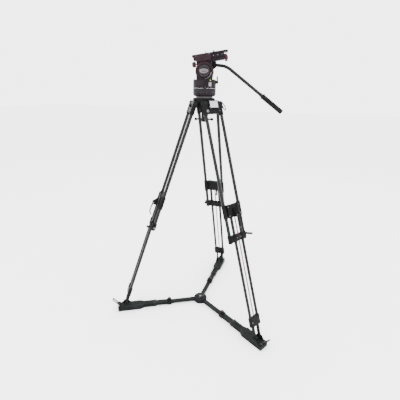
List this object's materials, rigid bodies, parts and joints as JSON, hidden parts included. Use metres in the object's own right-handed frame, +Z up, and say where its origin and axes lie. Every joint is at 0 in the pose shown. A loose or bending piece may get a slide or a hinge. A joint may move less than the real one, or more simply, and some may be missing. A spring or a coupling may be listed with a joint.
{
  "type": "camera tripod",
  "caption": "Floor-standing camera tripod of paired telescoping tubes on a floor-level spreader, with a levelling bowl and a pan and tilt fluid head with handle.",
  "frame": {"origin": "on the pan axis at floor level, under the spreader's hub", "axes": "+Z up along the pan axis; +Y along leg c, legs a and b at 210 and 330 degrees"},
  "size_m": [1.0936, 0.95, 1.6846],
  "materials": {
    "casting": "satin black crackle paint",
    "tube": "black anodised",
    "lever": "matte black",
    "red_rod": "red anodised",
    "spreader": "moulded black",
    "bowl": "machined, dark anodised",
    "head": "satin dark maroon-grey paint",
    "ring": "matte",
    "red_knob": "moulded red",
    "plate": "black anodised",
    "bar": "black satin",
    "grip": "ribbed rubber"
  },
  "bodies": {
    "crown": {"crown": "casting"},
    "leg_a": {"leg_shoulder_a": "casting", "upper_tubes_a": "tube", "clamp_bracket_a": "casting"},
    "clamp_lever_a": {"clamp_lever_a": "lever"},
    "lower_leg_a": {"guide_bracket_a": "casting", "lower_tubes_a": "tube", "brake_rod_a": "red_rod", "foot_bracket_a": "casting"},
    "release_lever_a": {"release_lever_a": "lever"},
    "channel_a": {"spreader_channel_a": "spreader"},
    "foot_latch_a": {"foot_latch_a": "lever"},
    "mid_arm_a": {"spreader_mid_tube_a": "spreader"},
    "arm_knob_a": {"spreader_knob_a": "lever"},
    "inner_arm_a": {"spreader_inner_tube_a": "spreader", "spreader_hub": "spreader"},
    "leg_b": {"leg_shoulder_b": "casting", "upper_tubes_b": "tube", "clamp_bracket_b": "casting"},
    "clamp_lever_b": {"clamp_lever_b": "lever"},
    "lower_leg_b": {"guide_bracket_b": "casting", "lower_tubes_b": "tube", "brake_rod_b": "red_rod", "foot_bracket_b": "casting"},
    "release_lever_b": {"release_lever_b": "lever"},
    "channel_b": {"spreader_channel_b": "spreader"},
    "foot_latch_b": {"foot_latch_b": "lever"},
    "mid_arm_b": {"spreader_mid_tube_b": "spreader"},
    "arm_knob_b": {"spreader_knob_b": "lever"},
    "inner_arm_b": {"spreader_inner_tube_b": "spreader"},
    "leg_c": {"leg_shoulder_c": "casting", "upper_tubes_c": "tube", "clamp_bracket_c": "casting"},
    "clamp_lever_c": {"clamp_lever_c": "lever"},
    "lower_leg_c": {"guide_bracket_c": "casting", "lower_tubes_c": "tube", "brake_rod_c": "red_rod", "foot_bracket_c": "casting"},
    "release_lever_c": {"release_lever_c": "lever"},
    "channel_c": {"spreader_channel_c": "spreader"},
    "foot_latch_c": {"foot_latch_c": "lever"},
    "mid_arm_c": {"spreader_mid_tube_c": "spreader"},
    "arm_knob_c": {"spreader_knob_c": "lever"},
    "inner_arm_c": {"spreader_inner_tube_c": "spreader"},
    "half_ball": {"half_ball": "bowl", "clamp_cup": "casting", "pan_base": "head"},
    "tie_down_knob": {"tie_down_knob": "lever"},
    "pan_drag_ring": {"pan_drag_ring": "ring"},
    "pan_brake_lever": {"pan_brake_lever": "lever"},
    "tilt_drag_knob": {"tilt_drag_knob": "ring"},
    "tilt_brake_lever": {"tilt_brake_lever": "lever"},
    "balance_knob": {"balance_knob": "red_knob"},
    "plate_brake_knob": {"plate_brake_knob": "red_knob"},
    "slide_plate": {"slide_plate": "plate"},
    "pan_bar_knob": {"pan_bar_knob": "lever"},
    "head_body": {"head_body": "head"},
    "tilt_stage": {"tilt_housing": "head"},
    "pan_bar": {"pan_bar": "bar", "pan_grip": "grip"}
  },
  "joints": [
    {"name": "leg_spread_a", "type": "hinge", "parent": "crown", "child": "leg_a", "pos_m": [-0.05595, -0.0323, 1.3999], "axis": [0.5, -0.866, 0], "range_deg": [0, 5]},
    {"name": "leg_extend_a", "type": "slide", "parent": "leg_a", "child": "lower_leg_a", "axis": [-0.2804, -0.1619, -0.9461], "range_m": [-0.24, 0.08]},
    {"name": "clamp_lever_swing_a", "type": "hinge", "parent": "leg_a", "child": "clamp_lever_a", "pos_m": [-0.27772, -0.16034, 0.6515], "axis": [0.5, -0.866, 0], "range_deg": [0, 75]},
    {"name": "release_lever_swing_a", "type": "hinge", "parent": "lower_leg_a", "child": "release_lever_a", "pos_m": [-0.27537, -0.15898, 0.79537], "axis": [-0.5, 0.866, 0], "range_deg": [0, 40]},
    {"name": "channel_level_a", "type": "hinge", "parent": "lower_leg_a", "child": "channel_a", "pos_m": [-0.4646, -0.26824, 0.0394], "axis": [0.5, -0.866, 0], "range_deg": [-5, 0]},
    {"name": "arm_mid_slide_a", "type": "slide", "parent": "channel_a", "child": "mid_arm_a", "axis": [-0.866, -0.5, 0], "range_m": [-0.027, 0.078]},
    {"name": "arm_inner_slide_a", "type": "slide", "parent": "mid_arm_a", "child": "inner_arm_a", "axis": [-0.866, -0.5, 0], "range_m": [0, 0.12087]},
    {"name": "arm_knob_turn_a", "type": "hinge", "parent": "mid_arm_a", "child": "arm_knob_a", "pos_m": [-0.1996, -0.11524, 0.016], "axis": [0, 0, 1], "range_deg": [0, 120]},
    {"name": "foot_latch_swing_a", "type": "hinge", "parent": "channel_a", "child": "foot_latch_a", "pos_m": [-0.50531, -0.29174, 0.0395], "axis": [-0.5, 0.866, 0], "range_deg": [0, 55]},
    {"name": "leg_spread_b", "type": "hinge", "parent": "crown", "child": "leg_b", "pos_m": [0.05595, -0.0323, 1.3999], "axis": [0.5, 0.866, 0], "range_deg": [0, 5]},
    {"name": "leg_extend_b", "type": "slide", "parent": "leg_b", "child": "lower_leg_b", "axis": [0.2804, -0.1619, -0.9461], "range_m": [-0.24, 0.08]},
    {"name": "clamp_lever_swing_b", "type": "hinge", "parent": "leg_b", "child": "clamp_lever_b", "pos_m": [0.27772, -0.16034, 0.6515], "axis": [0.5, 0.866, 0], "range_deg": [0, 75]},
    {"name": "release_lever_swing_b", "type": "hinge", "parent": "lower_leg_b", "child": "release_lever_b", "pos_m": [0.27537, -0.15898, 0.79537], "axis": [-0.5, -0.866, 0], "range_deg": [0, 40]},
    {"name": "channel_level_b", "type": "hinge", "parent": "lower_leg_b", "child": "channel_b", "pos_m": [0.4646, -0.26824, 0.0394], "axis": [0.5, 0.866, 0], "range_deg": [-5, 0]},
    {"name": "arm_mid_slide_b", "type": "slide", "parent": "channel_b", "child": "mid_arm_b", "axis": [0.866, -0.5, 0], "range_m": [-0.027, 0.078]},
    {"name": "arm_inner_slide_b", "type": "slide", "parent": "mid_arm_b", "child": "inner_arm_b", "axis": [0.866, -0.5, 0], "range_m": [0, 0.12087]},
    {"name": "arm_knob_turn_b", "type": "hinge", "parent": "mid_arm_b", "child": "arm_knob_b", "pos_m": [0.1996, -0.11524, 0.016], "axis": [0, 0, 1], "range_deg": [0, 120]},
    {"name": "foot_latch_swing_b", "type": "hinge", "parent": "channel_b", "child": "foot_latch_b", "pos_m": [0.50531, -0.29174, 0.0395], "axis": [-0.5, -0.866, 0], "range_deg": [0, 55]},
    {"name": "leg_spread_c", "type": "hinge", "parent": "crown", "child": "leg_c", "pos_m": [0, 0.0646, 1.3999], "axis": [-1, 0, 0], "range_deg": [0, 5]},
    {"name": "leg_extend_c", "type": "slide", "parent": "leg_c", "child": "lower_leg_c", "axis": [0, 0.3238, -0.9461], "range_m": [-0.24, 0.08]},
    {"name": "clamp_lever_swing_c", "type": "hinge", "parent": "leg_c", "child": "clamp_lever_c", "pos_m": [0, 0.32069, 0.6515], "axis": [-1, 0, 0], "range_deg": [0, 75]},
    {"name": "release_lever_swing_c", "type": "hinge", "parent": "lower_leg_c", "child": "release_lever_c", "pos_m": [0, 0.31796, 0.79537], "axis": [1, 0, 0], "range_deg": [0, 40]},
    {"name": "channel_level_c", "type": "hinge", "parent": "lower_leg_c", "child": "channel_c", "pos_m": [0, 0.53648, 0.0394], "axis": [-1, 0, 0], "range_deg": [-5, 0]},
    {"name": "arm_mid_slide_c", "type": "slide", "parent": "channel_c", "child": "mid_arm_c", "axis": [0, 1, 0], "range_m": [-0.027, 0.078]},
    {"name": "arm_inner_slide_c", "type": "slide", "parent": "mid_arm_c", "child": "inner_arm_c", "axis": [0, 1, 0], "range_m": [0, 0.12087]},
    {"name": "arm_knob_turn_c", "type": "hinge", "parent": "mid_arm_c", "child": "arm_knob_c", "pos_m": [0, 0.23048, 0.016], "axis": [0, 0, 1], "range_deg": [0, 120]},
    {"name": "foot_latch_swing_c", "type": "hinge", "parent": "channel_c", "child": "foot_latch_c", "pos_m": [0, 0.58348, 0.0395], "axis": [1, 0, 0], "range_deg": [0, 55]},
    {"name": "head_level", "type": "hinge", "parent": "crown", "child": "half_ball", "pos_m": [0, 0, 1.4309], "axis": [-0.2504, 0.9681, 0], "range_deg": [-8.5, 8.5]},
    {"name": "tie_down_turn", "type": "hinge", "parent": "half_ball", "child": "tie_down_knob", "pos_m": [0, 0, 1.2949], "axis": [0, 0, 1], "continuous": true},
    {"name": "pan_drag_turn", "type": "hinge", "parent": "half_ball", "child": "pan_drag_ring", "pos_m": [0, 0, 1.4623], "axis": [0, 0, 1], "range_deg": [0, 150]},
    {"name": "pan", "type": "hinge", "parent": "half_ball", "child": "head_body", "pos_m": [0, 0, 1.4827], "axis": [0, 0, 1], "continuous": true},
    {"name": "pan_brake_swing", "type": "hinge", "parent": "head_body", "child": "pan_brake_lever", "pos_m": [0.06418, 0.01541, 1.5157], "axis": [0.9724, 0.2334, 0], "range_deg": [0, 70]},
    {"name": "tilt", "type": "hinge", "parent": "head_body", "child": "tilt_stage", "pos_m": [0, 0, 1.5717], "axis": [-0.2504, 0.9681, 0], "range_deg": [-41, 48]},
    {"name": "tilt_drag_turn", "type": "hinge", "parent": "head_body", "child": "tilt_drag_knob", "pos_m": [0, 0, 1.5717], "axis": [0.2504, -0.9681, 0], "range_deg": [0, 150]},
    {"name": "tilt_brake_swing", "type": "hinge", "parent": "head_body", "child": "tilt_brake_lever", "pos_m": [0, 0, 1.5717], "axis": [-0.2504, 0.9681, 0], "range_deg": [0, 60]},
    {"name": "balance_turn", "type": "hinge", "parent": "tilt_stage", "child": "balance_knob", "pos_m": [-0.04874, -0.0126, 1.60828], "axis": [-0.9562, -0.2473, -0.1564], "continuous": true},
    {"name": "plate_brake_turn", "type": "hinge", "parent": "tilt_stage", "child": "plate_brake_knob", "pos_m": [0.10489, 0.02713, 1.64455], "axis": [0.9562, 0.2473, 0.1564], "continuous": true},
    {"name": "plate_slide", "type": "slide", "parent": "tilt_stage", "child": "slide_plate", "axis": [0.9562, 0.2473, 0.1564], "range_m": [-0.05, 0.05]},
    {"name": "pan_bar_swing", "type": "hinge", "parent": "tilt_stage", "child": "pan_bar", "pos_m": [0.02488, 0.06355, 1.6117], "axis": [0.2504, -0.9681, 0], "range_deg": [-20, 40]},
    {"name": "pan_bar_knob_turn", "type": "hinge", "parent": "tilt_stage", "child": "pan_bar_knob", "pos_m": [0.02488, 0.06355, 1.6117], "axis": [-0.2504, 0.9681, 0], "continuous": true}
  ],
  "couplings": [
    {"joint": "channel_level_a", "follows": "leg_spread_a", "ratio": -1},
    {"joint": "arm_mid_slide_a", "follows": "leg_extend_a", "ratio": -0.32375},
    {"joint": "arm_inner_slide_a", "follows": "leg_spread_a", "m_per_rad": 1.3794},
    {"joint": "leg_spread_b", "follows": "leg_spread_a", "ratio": 1},
    {"joint": "leg_extend_b", "follows": "leg_extend_a", "ratio": 1},
    {"joint": "channel_level_b", "follows": "leg_spread_a", "ratio": -1},
    {"joint": "arm_mid_slide_b", "follows": "leg_extend_a", "ratio": -0.32375},
    {"joint": "arm_inner_slide_b", "follows": "leg_spread_a", "m_per_rad": 1.3794},
    {"joint": "leg_spread_c", "follows": "leg_spread_a", "ratio": 1},
    {"joint": "leg_extend_c", "follows": "leg_extend_a", "ratio": 1},
    {"joint": "channel_level_c", "follows": "leg_spread_a", "ratio": -1},
    {"joint": "arm_mid_slide_c", "follows": "leg_extend_a", "ratio": -0.32375},
    {"joint": "arm_inner_slide_c", "follows": "leg_spread_a", "m_per_rad": 1.3794}
  ]
}
